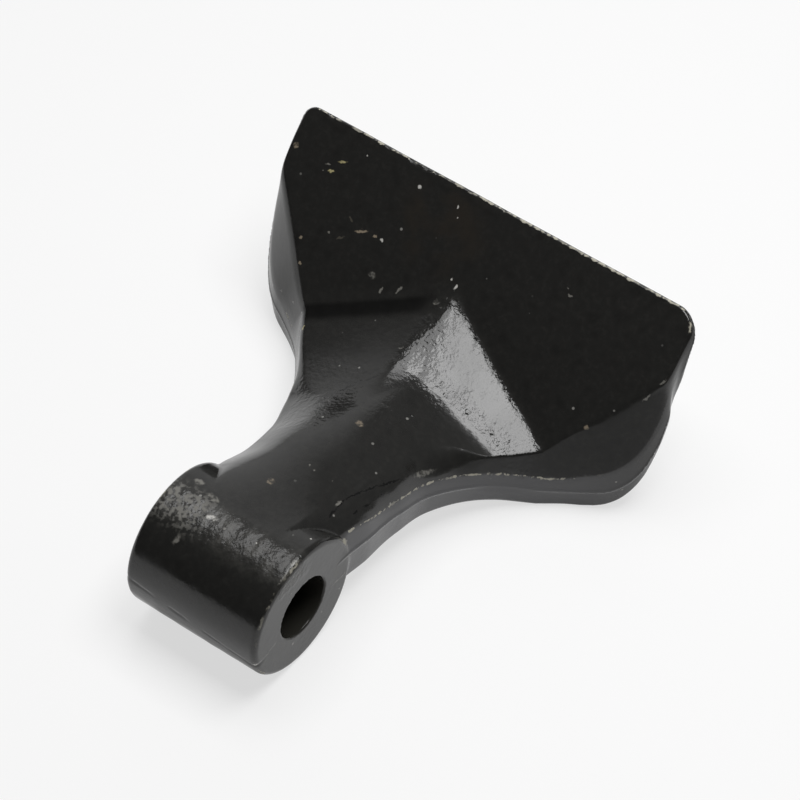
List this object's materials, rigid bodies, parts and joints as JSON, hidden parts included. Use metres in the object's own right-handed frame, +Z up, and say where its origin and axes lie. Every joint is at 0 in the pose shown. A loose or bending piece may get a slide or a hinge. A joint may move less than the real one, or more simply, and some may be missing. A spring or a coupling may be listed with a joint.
{
  "type": "flail mower hammer",
  "caption": "Forged flail mower hammer: a pivot boss with a cross bore, a flared neck and a wide upturned head with a straight cutting edge, in black paint.",
  "frame": {"origin": "centre of the pivot bore, midway along the boss", "axes": "+X along the pivot bore, +Y from the bore towards the cutting edge, +Z up, square to the floor on which the hammer lies"},
  "size_m": [0.119, 0.1241, 0.0522],
  "materials": {
    "black_paint": "glossy black enamel over forged steel, chipped at the edges"
  },
  "bodies": {
    "root": {"hammer": "black_paint"}
  },
  "joints": []
}
